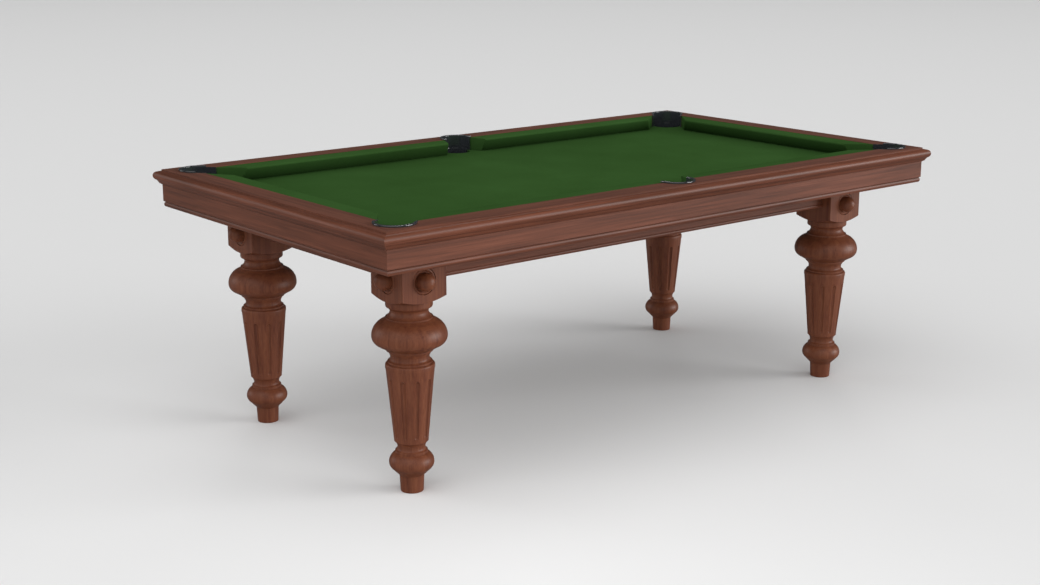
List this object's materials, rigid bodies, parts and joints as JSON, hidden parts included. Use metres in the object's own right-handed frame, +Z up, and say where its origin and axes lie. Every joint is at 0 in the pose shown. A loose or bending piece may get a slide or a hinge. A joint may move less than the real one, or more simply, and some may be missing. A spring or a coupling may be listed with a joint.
{
  "type": "pool table",
  "caption": "Pool table with a cloth-covered slate bed, cushioned rails, lined pockets at corners and middles, beaded fascias and turned, fluted legs with levelling feet.",
  "frame": {"origin": "on the floor under the middle of the table", "axes": "+X along the long side, +Y across from the front long side to the back, +Z up"},
  "size_m": [2.2, 1.25, 0.8035],
  "materials": {
    "stained_wood": "satin mahogany stain",
    "plain_wood": "sawn softwood",
    "slate": "ground slate",
    "cloth": "matt green wool cloth",
    "cushion_rubber": "matt",
    "liner_plastic": "gloss black",
    "cup_plastic": "matt black",
    "pad_plastic": "matt black",
    "steel": "plain zinc-plated",
    "brass": "plain"
  },
  "bodies": {
    "frame": {"leg_front_left": "stained_wood", "leg_front_right": "stained_wood", "leg_back_left": "stained_wood", "leg_back_right": "stained_wood", "rosettes": "stained_wood", "beam_front": "stained_wood", "beam_back": "stained_wood", "beam_left": "stained_wood", "beam_right": "stained_wood", "fascia_front": "stained_wood", "fascia_back": "stained_wood", "fascia_left": "stained_wood", "fascia_right": "stained_wood", "rail_front": "stained_wood", "rail_back": "stained_wood", "rail_left": "stained_wood", "rail_right": "stained_wood", "joist_left_end": "plain_wood", "joist_left_middle": "plain_wood", "joist_right_middle": "plain_wood", "joist_right_end": "plain_wood", "rail_cleats": "plain_wood", "slate_left": "slate", "slate_middle": "slate", "slate_right": "slate", "bed_cloth": "cloth", "cushion_front_left": "cloth", "cushion_front_right": "cloth", "cushion_back_left": "cloth", "cushion_back_right": "cloth", "cushion_left": "cloth", "cushion_right": "cloth", "cushion_rubber": "cushion_rubber", "pocket_liner_front_left": "liner_plastic", "pocket_liner_front_middle": "liner_plastic", "pocket_liner_front_right": "liner_plastic", "pocket_liner_back_left": "liner_plastic", "pocket_liner_back_middle": "liner_plastic", "pocket_liner_back_right": "liner_plastic", "pocket_cup_front_left": "cup_plastic", "pocket_cup_front_middle": "cup_plastic", "pocket_cup_front_right": "cup_plastic", "pocket_cup_back_left": "cup_plastic", "pocket_cup_back_middle": "cup_plastic", "pocket_cup_back_right": "cup_plastic", "leg_bolts": "steel", "rail_bolts": "steel", "foot_inserts": "brass"},
    "foot_pad_front_left": {"foot_pad_front_left": "pad_plastic"},
    "foot_spindle_front_left": {"foot_spindle_front_left": "steel"},
    "foot_pad_front_right": {"foot_pad_front_right": "pad_plastic"},
    "foot_spindle_front_right": {"foot_spindle_front_right": "steel"},
    "foot_pad_back_left": {"foot_pad_back_left": "pad_plastic"},
    "foot_spindle_back_left": {"foot_spindle_back_left": "steel"},
    "foot_pad_back_right": {"foot_pad_back_right": "pad_plastic"},
    "foot_spindle_back_right": {"foot_spindle_back_right": "steel"}
  },
  "joints": [
    {"name": "foot_slide_front_left", "type": "slide", "parent": "frame", "child": "foot_pad_front_left", "axis": [0, 0, -1], "range_m": [0, 0.02]},
    {"name": "foot_screw_front_left", "type": "hinge", "parent": "foot_pad_front_left", "child": "foot_spindle_front_left", "pos_m": [-0.8645, -0.3918, 0.03], "axis": [0, 0, -1], "range_deg": [0, 4114.3]},
    {"name": "foot_slide_front_right", "type": "slide", "parent": "frame", "child": "foot_pad_front_right", "axis": [0, 0, -1], "range_m": [0, 0.02]},
    {"name": "foot_screw_front_right", "type": "hinge", "parent": "foot_pad_front_right", "child": "foot_spindle_front_right", "pos_m": [0.8645, -0.3918, 0.03], "axis": [0, 0, -1], "range_deg": [0, 4114.3]},
    {"name": "foot_slide_back_left", "type": "slide", "parent": "frame", "child": "foot_pad_back_left", "axis": [0, 0, -1], "range_m": [0, 0.02]},
    {"name": "foot_screw_back_left", "type": "hinge", "parent": "foot_pad_back_left", "child": "foot_spindle_back_left", "pos_m": [-0.8645, 0.3918, 0.03], "axis": [0, 0, -1], "range_deg": [0, 4114.3]},
    {"name": "foot_slide_back_right", "type": "slide", "parent": "frame", "child": "foot_pad_back_right", "axis": [0, 0, -1], "range_m": [0, 0.02]},
    {"name": "foot_screw_back_right", "type": "hinge", "parent": "foot_pad_back_right", "child": "foot_spindle_back_right", "pos_m": [0.8645, 0.3918, 0.03], "axis": [0, 0, -1], "range_deg": [0, 4114.3]}
  ],
  "couplings": [
    {"joint": "foot_screw_front_left", "follows": "foot_slide_front_left", "rad_per_m": 3590.4},
    {"joint": "foot_screw_front_right", "follows": "foot_slide_front_right", "rad_per_m": 3590.4},
    {"joint": "foot_screw_back_left", "follows": "foot_slide_back_left", "rad_per_m": 3590.4},
    {"joint": "foot_screw_back_right", "follows": "foot_slide_back_right", "rad_per_m": 3590.4}
  ]
}
